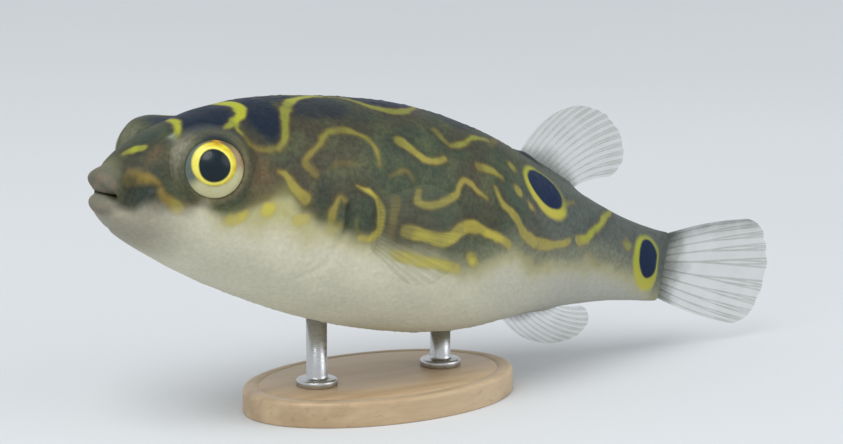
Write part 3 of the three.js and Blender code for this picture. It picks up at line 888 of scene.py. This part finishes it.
def flank_colour(n, grain, broad, blotch):
    """The back and flanks, without their yellow marks."""
    flank = n.mix(n.ramp(broad, 0.40, 0.60), FLANK_GREEN, FLANK_BROWN)
    flank = n.mix(n.ramp(blotch, 0.42, 0.72, 0.0, 0.6), flank, FLANK_LIGHT)
    flank = n.mix(n.mask_ramp("rear", 0.2, 1.0, 0.0, 0.7), flank, TAIL_GREY)
    flank = n.shade(flank, n.mask_ramp("low", 0.0, 0.9, 0.90, 1.24))
    flank = n.layer(flank, "brown", PATCH_BROWN, 0.5)
    flank = n.shade(flank, n.mask_ramp("halo", 0.0, 1.0, 1.0, 0.78))
    flank = n.layer(flank, "fringe", FRINGE_GREY, 0.42)
    # Olive-black patches, with painted shade in the gill slit's opening.
    flank = n.layer(flank, "shade", SHADE_OLIVE)
    flank = n.layer(flank, "saddle", SADDLE_BLACK)
    flank = n.layer(flank, "lid", LID_OLIVE, 0.85)
    flank = n.layer(flank, "socket", SOCKET_PALE, n.ramp(n.noise(900, 3, 0.6), 0.38, 0.62, 0.45, 1.0))
    flank = n.layer(flank, "rim", RIM_TAN, 0.45)
    return n.shade(flank, n.ramp(grain, 0.35, 0.65, 0.84, 1.14))


def belly_colour(n, grain, broad):
    """The white belly, greyer under the tail and the chin."""
    belly = n.mix(n.ramp(broad, 0.35, 0.65), BELLY_GREY, BELLY_WHITE)
    belly = n.layer(belly, "rear", REAR_GREY)
    belly = n.mix(n.mask_ramp("chin", 0.1, 1.0, 0.0, 0.95), belly, CHIN_GREY)
    return n.shade(belly, n.ramp(grain, 0.35, 0.65, 0.94, 1.03))


def line_colour(n):
    """The yellow of lines and spots: the stronger the brighter, and sandier low on the flank."""
    faint = n.mix(n.attribute("belly"), OCHRE, TINGE_YELLOW)
    dull = n.mix(n.mask_ramp("low", 0.1, 0.7), YELLOW_DULL, YELLOW_SAND)
    strong = n.mix(n.mask_ramp("low", 0.5, 1.0), YELLOW_BRIGHT, YELLOW_WARM)
    yellow = n.mix(n.mask_ramp("line", 0.2, 0.55), faint, dull)
    yellow = n.mix(n.mask_ramp("line", 0.6, 0.95), yellow, strong)
    return n.layer(yellow, "warm", OCHRE)


def skin_material():
    """Moist skin, with its colours laid over each other in turn."""
    n = material_nodes("skin")
    grain, blotch, broad = n.noise(*GRAIN), n.noise(*BLOTCH), n.noise(*BROAD)
    colour = n.layer(flank_colour(n, grain, broad, blotch), "belly", belly_colour(n, grain, broad))
    colour = n.layer(colour, "tinge", TINGE_YELLOW)
    speckled = n.ramp(n.noise(1500, 2, 0.5), 0.25, 0.5, 0.8, 1.0)
    colour = n.layer(colour, "line", line_colour(n), speckled)
    ring = n.mix(n.ramp(broad, 0.35, 0.65), YELLOW_DULL, YELLOW_BRIGHT)
    ring = n.mix(n.mask_ramp("low", 0.0, 0.6), ring, YELLOW_WARM)
    colour = n.layer(colour, "ring", ring, 0.92)
    colour = n.layer(colour, "black", OCELLUS_BLACK)
    colour = n.layer(colour, "nostril", NOSTRIL_PALE)
    # Painted highlight on top of the snout.
    colour = n.layer(colour, "snout", SNOUT_PAINTED_HIGHLIGHT, 0.6)
    lips = n.mix(n.ramp(n.noise(900, 3, 0.6), 0.42, 0.66), LIP_GREY, LIP_PINK)
    colour = n.layer(colour, "lips", lips, 0.8)
    # The lining of the throat darkened: painted shade in the mouth.
    colour = n.layer(colour, "mouth", MOUTH_PAINTED_SHADE)
    return n.finish(
        Base_Color=colour,
        Roughness=n.ramp(blotch, 0.3, 0.7, 0.46, 0.60),
        Normal=n.bump(grain, 0.2, FINE_BUMP, Normal=n.bump(n.cells(2300), 0.2, FINE_BUMP)),
        Specular_IOR_Level=0.10,
        Coat_Weight=0.03,
        Coat_Roughness=0.3,
    )


# ---- Eyes ----

PUPIL_RADIUS, IRIS_RADIUS = 1.30, 1.72
IRIS_RAISED = 0.14  # how far the iris's middle lies above the pupil's
PUPIL_TAILWARD, PUPIL_UP = -0.14, 0.1  # the pupil's place in the eyeball's front
FRONT_WHOLE, FRONT_ENDS = 1.35, 1.75  # angles from the line of sight
# Height and radius of the clear front's swell, the groove at the pupil and the rise round the iris.
CORNEA, PUPIL_GROOVE, IRIS_RIDGE = (0.14, 1.7), (0.06, 0.14), (0.04, 0.12)
EYE_ROWS, EYE_AROUND = 96, 150


def eye_parts(front, out, heading, pupil_edge, iris_out):
    """Masks of the eyeball's coloured parts. heading is an angle round the pupil, where 0 is
    tailward and a quarter turn is up."""
    tailward, up = np.cos(heading), np.sin(heading)
    from_top = np.abs(np.angle(np.exp(1j * (heading - math.pi / 2))))
    outside = front * smooth_step(IRIS_RADIUS - 0.1, IRIS_RADIUS + 0.15, iris_out)
    iris_edge = IRIS_RADIUS + 0.03 * np.cos(2 * heading)
    bright = np.maximum(bump(out - pupil_edge - 0.1, 0.1), 0.7 * smooth_step(0.2, 1.0, -tailward))
    notch = bump(from_top, 0.17) * smooth_step(1.55, 1.75, out) * (1 - smooth_step(2.0, 2.2, out))
    return dict(
        pupil=front * (1 - smooth_step(-0.05, 0.05, out - pupil_edge)),
        iris=front * (1 - smooth_step(-0.08, 0.10, iris_out - iris_edge)),
        inner=front * bright,
        notch=front * notch,
        below=outside * smooth_step(0.15, 0.75, 0.5 * tailward - up),
        ahead=outside * smooth_step(0.2, 0.9, -tailward),
        behind=outside * smooth_step(0.3, 0.95, tailward),
    )


def make_eye(name, side, material):
    """An eyeball built round its line of sight, with a swelling clear front over a ringed pupil."""
    sight, tailward, up = eye_axes(side)
    polar = np.linspace(0, math.pi, EYE_ROWS + 2)[1:-1, None]
    turn = 2 * math.pi * np.arange(EYE_AROUND)[None, :] / EYE_AROUND
    front = (1 - smooth_step(FRONT_WHOLE, FRONT_ENDS, polar)) * np.ones_like(turn)
    out_t = EYE_RADIUS * np.sin(polar) * np.cos(turn) - PUPIL_TAILWARD
    out_u = EYE_RADIUS * np.sin(polar) * np.sin(turn) - PUPIL_UP
    out, heading = np.hypot(out_t, out_u), np.arctan2(out_u, out_t)
    pupil_edge = PUPIL_RADIUS * (1 + 0.025 * np.cos(2 * heading + 2.2) + 0.02 * np.cos(3 * heading))
    iris_out = np.hypot(out_t, out_u - IRIS_RAISED)
    swell = CORNEA[0] * bump(out, CORNEA[1])
    swell = swell - PUPIL_GROOVE[0] * bump(out - pupil_edge - 0.1, PUPIL_GROOVE[1])
    swell = swell + IRIS_RIDGE[0] * bump(iris_out - IRIS_RADIUS - 0.05, IRIS_RIDGE[1])
    radius = EYE_RADIUS + front * swell
    ring, high = (radius * np.sin(polar))[..., None], (radius * np.cos(polar))[..., None]
    points = high * sight + ring * (np.cos(turn)[..., None] * tailward + np.sin(turn)[..., None] * up)
    tips = np.stack([radius[0].mean() * sight, -EYE_RADIUS * sight])
    flat = np.vstack([points.reshape(-1, 3), tips]) + eye_place(side)
    faces = closed_by_tips(EYE_ROWS, EYE_AROUND)
    if side < 0:
        faces = faces[:, ::-1]
    masks = {key: np.append(mask.ravel(), [key in ("pupil", "iris"), 0.0])
             for key, mask in eye_parts(front, out, heading, pupil_edge, iris_out).items()}
    eye = mesh_piece(name + "_ball", to_world(flat), faces, material, masks)
    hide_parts(name)


def eye_material():
    """A wet eyeball: dark white of the eye, tinted on each side, golden iris and blue-black pupil."""
    n = material_nodes("eye")
    fibres = n.noise(1500, 3, 0.6)
    colour = n.mix(fibres, linear(64, 62, 44), linear(110, 98, 74))
    for part, dark, light in (
        ("ahead", linear(80, 92, 84), linear(102, 114, 110)),
        ("behind", linear(150, 124, 92), linear(176, 152, 116)),
        ("below", linear(190, 184, 128), linear(214, 212, 172)),
    ):
        colour = n.layer(colour, part, n.mix(fibres, dark, light))
    gold = n.mix(n.ramp(fibres, 0.3, 0.7), linear(200, 172, 20), linear(222, 208, 50))
    colour = n.layer(colour, "iris", n.layer(gold, "inner", linear(236, 228, 110)))
    colour = n.layer(colour, "notch", linear(182, 136, 32))
    colour = n.layer(colour, "pupil", linear(6, 26, 34))
    return n.finish(Base_Color=colour, Roughness=n.ramp(fibres, 0.3, 0.7, 0.25, 0.4),
                    Specular_IOR_Level=0.2, Coat_Weight=0.15, Coat_Roughness=0.05)


# ---- Fins ----

FIN_ACROSS, FIN_ALONG = 240, 70
RAY_BEND = math.radians(16)  # how far the rays of the back and belly fins lean tailward
# Half thicknesses of the membrane, of a ray at its root, and what the fleshy root adds.
FIN_MIDDLE, FIN_RAY, FIN_FLESH = 0.045, 0.09, 0.16
FORKS = ((0.15, 0.30, 0.75), (0.085, 0.62, 1.0))  # how far a ray's forks part, and where along it
FAN_SQUARENESS = 0.32  # the lower, the squarer the outline of a fan of rays
ROOT_SINK, CAUDAL_SINK = 0.5, 0.4  # how far the roots of the midline and tail fins lie inside
CAUDAL_ROUNDING = 0.24  # the share of its length that the tail fin's rounded end takes up
CAUDAL_BULGE = 0.35  # how far its upper and lower edges bow out
PECTORAL_TILT, PECTORAL_AHEAD, PECTORAL_SINK = math.radians(-4), 0.15, 0.45
EDGE_WAVES = ((0.006, 2.1, 0.0), (0.005, 5.3, 1.0))  # depth, radians to a ray, and start


def ray_ridges(across, along, count):
    """How near each point is to a fin ray, 0 to 1. Each ray forks twice towards the fin's edge."""
    phase = across * count - 0.5
    first, second = (apart * smooth_step(start, end, along) for apart, start, end in FORKS)
    width = 0.115 - 0.065 * along
    ridges = np.zeros(phase.shape)
    for one in (-1, 1):
        for two in (-1, 1):
            offset = phase + one * first + two * second
            ridges = np.maximum(ridges, bump(np.abs((offset + 0.5) % 1 - 0.5), width))
    return ridges


def make_fin(name, place, count, material, wave):
    """A membrane with count rays, rippled by wave. place(across, along) gives points of its middle
    surface in the fish's frame, with across from 0 to 1 over the rays and along from 0 at the root
    to 1 at the edge."""
    across, along = np.meshgrid(np.linspace(0, 1, FIN_ACROSS), np.linspace(0, 1, FIN_ALONG), indexing="ij")
    ridges = ray_ridges(across, along, count)
    ragged = sum(depth * np.sin(turn * count * across + start) for depth, turn, start in EDGE_WAVES)
    reach = along * (0.99 - (ragged + 0.004 * (1 - ridges)) * smooth_step(0.7, 1.0, along))
    middle = place(across, reach)
    normal = np.cross(*np.gradient(middle, axis=(0, 1)))
    normal /= np.linalg.norm(normal, axis=2, keepdims=True)
    ripple = wave * along ** 1.5 * np.sin(2.2 * math.pi * across + 1.2 * along)
    middle = middle + ripple[..., None] * normal
    root = 1 - smooth_step(0.0, 0.22, along)
    thick = FIN_MIDDLE + FIN_RAY * ridges * (1 - 0.8 * along) + FIN_FLESH * root
    sheets = np.stack([middle + thick[..., None] * normal, middle - thick[..., None] * normal])
    front = grid_faces(FIN_ACROSS, FIN_ALONG, closed=False)
    one_side = FIN_ACROSS * FIN_ALONG
    index = np.arange(one_side).reshape(FIN_ACROSS, FIN_ALONG)
    border = np.concatenate([index[:, 0], index[-1, 1:], index[-2::-1, -1], index[0, -2:0:-1]])
    following = np.roll(border, -1)
    wall = np.stack([border, following, following + one_side, border + one_side], -1)
    faces = np.vstack([front, front[:, ::-1] + one_side, wall[:, ::-1]])
    masks = {key: np.tile(mask.ravel(), 2)
             for key, mask in (("ray", ridges), ("along", along), ("across", across))}
    fin = mesh_piece(name + "_membrane", to_world(sheets.reshape(-1, 3)), faces, material, masks)
    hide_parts(name)


def fan(root_start, root_end, middle, spread, bend, rays, across, along):
    """Places in a fan of rays that grow from a straight root, in the fan's own plane. Each ray turns
    by bend from its root to its tip."""
    angle = middle + spread * (across - 0.5) + bend * (along - 0.35)
    length = rays * np.sin(math.pi * (0.05 + 0.9 * across)) ** FAN_SQUARENESS * along
    first = root_start[0] + (root_end[0] - root_start[0]) * across + length * np.cos(angle)
    second = root_start[1] + (root_end[1] - root_start[1]) * across + length * np.sin(angle)
    return first, second


def midline_place(fin, up):
    """Places of the fin on the back (up is 1) or under the tail (up is -1)."""
    edge = BACK if up > 0 else BELLY
    start, end = ((x, edge(x) - up * ROOT_SINK) for x in fin["root"])

    def place(across, along):
        x, z = fan(start, end, up * math.radians(fin["slope"]), -up * math.radians(fin["spread"]),
                   -up * RAY_BEND, fin["rays"] + ROOT_SINK, across, along)
        return np.stack([x, 0 * x, z], -1)

    return place


def caudal_place(across, along):
    """Places of the tail fin, whose rays fan out a little to a rounded end."""
    low, high = CAUDAL_FIN["root"]
    bottom, top = CAUDAL_FIN["end"]
    turn = math.pi * (across - 0.5)
    reach = 1 - CAUDAL_ROUNDING + CAUDAL_ROUNDING * np.cos(turn)
    tip_x = BODY_LENGTH + 0.3 + CAUDAL_FIN["length"] * reach
    flat = np.sign(np.sin(turn)) * np.abs(np.sin(turn)) ** 0.8
    tip_z = (top + bottom) / 2 + (top - bottom) / 2 * flat
    start = SKIN_END - CAUDAL_SINK
    root_z = low + (high - low) * across
    bulge = CAUDAL_BULGE * np.sin(math.pi * along) * (2 * across - 1)
    return np.stack([start + (tip_x - start) * along, 0 * along,
                     root_z + (tip_z - root_z) * along + bulge], -1)


def pectoral_place(side):
    """Places of a pectoral fin, a fan that trails back and stands out from the flank."""
    low, high = PECTORAL_FIN["root"]
    turn = math.radians(PECTORAL_FIN["outward"])

    def place(across, along):
        back, z = fan((0, low), (0, high), PECTORAL_TILT, math.radians(PECTORAL_FIN["spread"]),
                      0, PECTORAL_FIN["rays"], across, along)
        x = PECTORAL_FIN["x"] - PECTORAL_AHEAD + back * math.cos(turn)
        y = side * (HALF_WIDTH(PECTORAL_FIN["x"]) - PECTORAL_SINK + back * math.sin(turn))
        return np.stack([x, y + 0 * z, z], -1)

    return place


def fin_material(name, cover, upper_shade=0.0):
    """A clear membrane with olive rays. cover gives how opaque the membrane is and a ray, and what
    the root adds; upper_shade darkens the upper edge."""
    n = material_nodes(name)
    membrane_cover, ray_cover, root_cover = cover
    cloud = n.noise(420, 3, 0.55)
    along = n.math("ADD", n.attribute("along"), n.ramp(cloud, 0.3, 0.7, -0.06, 0.06))
    root = n.ramp(along, 0.02, 0.34, 1.0, 0.0)
    upper = n.mask_ramp("across", 0.70, 1.0, 0.0, upper_shade)
    colour = n.layer(linear(128, 132, 116), "ray", linear(104, 106, 80))
    colour = n.mix(root, colour, FIN_ROOT)
    colour = n.mix(upper, colour, linear(60, 68, 72))
    veil = n.mask_ramp("ray", 0.1, 0.9, membrane_cover, ray_cover)
    veil = n.math("ADD", veil, n.math("MULTIPLY", root, root_cover))
    veil = n.math("ADD", veil, n.math("MULTIPLY", upper, 0.35))
    veil = n.math("MULTIPLY", veil, n.ramp(cloud, 0.3, 0.7, 0.8, 1.15))
    return n.finish(Base_Color=colour, Roughness=0.4, Alpha=n.math("MINIMUM", veil, 1.0),
                    Normal=n.bump(cloud, 0.1, 0.0001), Specular_IOR_Level=0.1)


# ---- Stand ----

STAND_AROUND = 180
BASE_FOOT = 0.15  # radius of the base's lower edge
GROOVE = dict(inset=1.5, half_width=0.12, half_floor=0.04, depth=0.08)
COLLAR_CHAMFER, COLLAR_ROUND = 0.06, 0.25
ROD_RUNS_ON = 0.35  # how far a rod runs on past its solid, into the belly


def turned(profile, squash=1.0):
    """Points and faces of a profile of (radius, height) turned about the vertical axis."""
    turn = 2 * math.pi * np.arange(STAND_AROUND) / STAND_AROUND
    radius, height = np.array(profile).T
    x = radius[:, None] * np.cos(turn)
    y = radius[:, None] * np.sin(turn) * squash
    points = np.stack([x, y, np.repeat(height[:, None], STAND_AROUND, 1)], -1)
    tips = [(0, 0, height[0]), (0, 0, height[-1])]
    return np.vstack([points.reshape(-1, 3), tips]), closed_by_tips(len(profile), STAND_AROUND)[:, ::-1]


def arc(centre, radius, start, end, steps=8):
    """Points of an arc in (radius, height), by angles in degrees from outwards."""
    angles = np.radians(np.linspace(start, end, steps + 1))
    return [(centre[0] + radius * math.cos(a), centre[1] + radius * math.sin(a)) for a in angles]


def make_stand_base(material):
    """An oval base with a rounded top edge and a fine turned groove inside it."""
    size, height, bevel = BASE["half_length"], BASE["height"], BASE["bevel"]
    groove, wide, narrow = size - GROOVE["inset"], GROOVE["half_width"], GROOVE["half_floor"]
    floor = height - GROOVE["depth"]
    profile = [(size * 0.5, 0.0), (size - BASE_FOOT, 0.0)]
    profile += arc((size - BASE_FOOT, BASE_FOOT), BASE_FOOT, -80, 0, 4)
    profile += arc((size - bevel, height - bevel), bevel, 0, 90)
    profile += [(groove + wide, height), (groove + narrow, floor), (groove - narrow, floor),
                (groove - wide, height), (size * 0.5, height), (size * 0.2, height)]
    points, faces = turned(profile, BASE["half_width"] / size)
    base = mesh_piece("stand_base_turned", points * MM, faces, material)
    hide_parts("stand_base")


def make_stand_rod(name, x, material):
    """A rod with a collar at its foot, which runs up into the belly."""
    foot, collar, radius = BASE["height"], ROD["collar_radius"], ROD["radius"]
    shoulder = foot + ROD["collar_height"] * 0.55
    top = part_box(name)[1].z / MM + ROD_RUNS_ON
    profile = [(collar - COLLAR_CHAMFER, foot), (collar, foot + COLLAR_CHAMFER), (collar, shoulder)]
    profile += arc((collar - COLLAR_ROUND, shoulder), COLLAR_ROUND, 10, 90, 6)
    profile += arc((radius + 0.3, shoulder + 0.5), 0.25, 262, 188, 5)
    profile += [(radius, shoulder + 0.6), (radius, top)]
    points, faces = turned(profile)
    rod = mesh_piece(name + "_turned", (points + (x, 0, 0)) * MM, faces, material)
    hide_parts(name)


def wood_material():
    """Satin beech with its grain along the base."""
    n = material_nodes("stand_wood")
    grain = n.noise(260, 5, 0.62, (0.12, 1.0, 1.0))
    pores = n.noise(2100, 3, 0.7, (0.06, 1.0, 1.0))
    colour = n.mix(n.ramp(grain, 0.32, 0.66), linear(172, 146, 112), linear(200, 176, 142))
    colour = n.mix(n.ramp(pores, 0.56, 0.72, 0.0, 0.4), colour, linear(138, 110, 80))
    return n.finish(Base_Color=colour, Roughness=n.ramp(grain, 0.3, 0.7, 0.42, 0.55),
                    Normal=n.bump(pores, 0.15, 0.00008), Coat_Weight=0.2, Coat_Roughness=0.3)


def steel_material():
    """Steel brushed round the rods."""
    n = material_nodes("stand_steel")
    brushed = n.noise(700, 4, 0.6, (1.0, 1.0, 12.0))
    colour = n.mix(brushed, linear(182, 184, 186), linear(204, 205, 206))
    return n.finish(Base_Color=colour, Metallic=1.0, Roughness=n.ramp(brushed, 0.3, 0.7, 0.24, 0.4),
                    Normal=n.bump(brushed, 0.1, FINE_BUMP))


# ---- Stage, light and camera ----

CAMERA_AZIMUTH, CAMERA_ELEVATION = math.radians(-35), math.radians(11)
CAMERA_DISTANCE = 280.0
IMAGE_WIDTH = 843
PIXELS_PER_MM = 11.6  # at the middle of the fish
AIM_X, AIM_RIGHT, AIM_UP = 28.0, 4.07, 0.28  # the point the camera looks at


def looking_back(azimuth, elevation):
    """The unit vector from what is looked at to a camera or lamp; azimuth 0 looks along +Y."""
    return np.array([math.sin(azimuth) * math.cos(elevation), -math.cos(azimuth) * math.cos(elevation),
                     math.sin(elevation)])


def camera_axes():
    """The camera's right, up and back."""
    back = looking_back(CAMERA_AZIMUTH, CAMERA_ELEVATION)
    right = np.array([math.cos(CAMERA_AZIMUTH), math.sin(CAMERA_AZIMUTH), 0.0])
    return right, np.cross(back, right), back


def make_camera():
    """A camera with a long lens, aimed near the middle of the fish."""
    right, up, back = camera_axes()
    aim = to_world([[AIM_X, 0, 0]])[0] + (AIM_RIGHT * right + AIM_UP * up) * MM
    data = bpy.data.cameras.new("camera")
    data.sensor_width = 36.0
    data.lens = PIXELS_PER_MM * CAMERA_DISTANCE * data.sensor_width / IMAGE_WIDTH
    data.clip_start, data.clip_end = 0.01, 10.0
    camera = in_scene("camera", data)
    pose = Matrix(np.stack([right, up, back], 1).tolist()).to_4x4()
    pose.translation = aim + back * CAMERA_DISTANCE * MM
    camera.matrix_world = pose
    bpy.context.scene.camera = camera


def make_lamp(name, azimuth, elevation, distance, size, power):
    """A round soft lamp aimed at the fish, by angles in degrees, metres and watts."""
    back = Vector(looking_back(math.radians(azimuth), math.radians(elevation)))
    data = bpy.data.lights.new(name, "AREA")
    data.shape = "DISK"
    data.size = size
    data.energy = power
    lamp = in_scene(name, data)
    lamp.location = back * distance + Vector((0, 0, AXIS_HEIGHT * MM))
    lamp.rotation_mode = "QUATERNION"
    lamp.rotation_quaternion = (-back).to_track_quat("-Z", "Y")


def make_world():
    """Soft light all round, and a paler background for what the camera sees, also in reflections
    and through clear things."""
    n = Nodes(bpy.data.worlds.new("world"), "Background")
    camera, glossy, through = (n.add("LightPath", "Is %s Ray" % kind, {})
                               for kind in ("Camera", "Glossy", "Transmission"))
    seen = n.math("MAXIMUM", n.math("MAXIMUM", camera, glossy), through)
    bpy.context.scene.world = n.finish(Color=(0.94, 0.97, 1.0, 1.0), Strength=n.ramp(seen, 0, 1, 0.60, 0.80))


def make_floor():
    """A pale floor, wide enough to run out of sight."""
    half = 1.6
    n = material_nodes("floor")
    material = n.finish(Base_Color=n.mix(n.noise(9), linear(206, 209, 212), linear(216, 219, 222)),
                        Roughness=0.9)
    mesh = bpy.data.meshes.new("floor")
    corners = [(-half, -half, 0), (half, -half, 0), (half, half, 0), (-half, half, 0)]
    mesh.from_pydata(corners, [], [(0, 1, 2, 3)])
    mesh.materials.append(material)
    floor = in_scene("floor", mesh)


# ---- Making it all ----

bpy.context.scene.view_settings.view_transform = "Standard"
make_camera()
make_world()
make_floor()
make_lamp("key", azimuth=-60, elevation=55, distance=0.7, size=0.5, power=3.4)
make_lamp("fill", azimuth=40, elevation=25, distance=0.8, size=0.6, power=1.4)

make_skin(skin_material())
eye_finish = eye_material()
side_fin = fin_material("side_fin", (0.06, 0.15, 0.10))
middle_fin = fin_material("middle_fin", (0.11, 0.26, 0.50))
for end, body_side in (("right", 1), ("left", -1)):
    make_eye("eye_" + end, body_side, eye_finish)
    make_fin("pectoral_fin_" + end, pectoral_place(body_side), 16, side_fin, 0.25 * body_side)
make_fin("dorsal_fin", midline_place(DORSAL_FIN, 1), 13, middle_fin, 0.12)
make_fin("anal_fin", midline_place(ANAL_FIN, -1), 11, middle_fin, 0.12)
tail_fin = fin_material("tail_fin", (0.12, 0.27, 0.60), upper_shade=0.6)
make_fin("caudal_fin", caudal_place, 10, tail_fin, 0.15)
make_stand_base(wood_material())
steel = steel_material()
for rod_name, rod_x in zip(("stand_rod_front", "stand_rod_rear"), ROD["places"]):
    make_stand_rod(rod_name, rod_x, steel)
